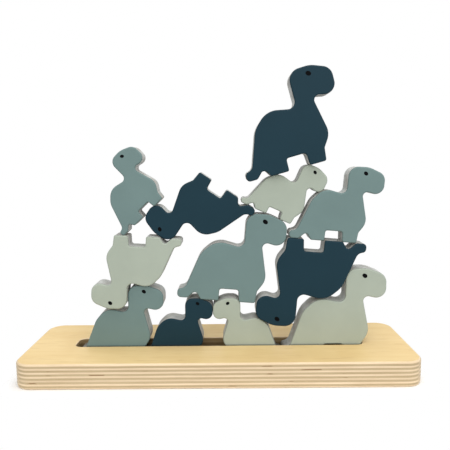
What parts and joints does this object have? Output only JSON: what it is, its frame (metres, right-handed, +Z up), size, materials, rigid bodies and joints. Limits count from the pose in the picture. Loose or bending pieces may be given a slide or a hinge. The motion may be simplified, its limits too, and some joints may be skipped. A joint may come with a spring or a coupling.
{
  "type": "stacking balance game",
  "caption": "Stacking balance game: flat painted wooden long-neck dinosaurs in three sizes piled on a slotted birch plywood board.",
  "frame": {"origin": "middle of the board's underside", "axes": "+X along the board towards the right as the game faces, +Y from the front edge to the back edge, +Z up"},
  "size_m": [0.28, 0.0838, 0.2169],
  "materials": {
    "board_birch": "satin",
    "dark_paint": "satin",
    "blue_paint": "satin",
    "sage_paint": "satin"
  },
  "bodies": {
    "root": {"board": "board_birch", "blue_medium_in_slot": "blue_paint", "dark_small_in_slot": "dark_paint", "sage_small_in_slot": "sage_paint", "sage_large_in_slot": "sage_paint", "sage_medium_head_down": "sage_paint", "dark_large_head_down": "dark_paint", "blue_large_upright": "blue_paint", "dark_medium_head_down": "dark_paint", "blue_small_tail_down": "blue_paint", "blue_medium_upright": "blue_paint", "sage_small_on_head": "sage_paint", "dark_large_on_top": "dark_paint"}
  },
  "joints": []
}
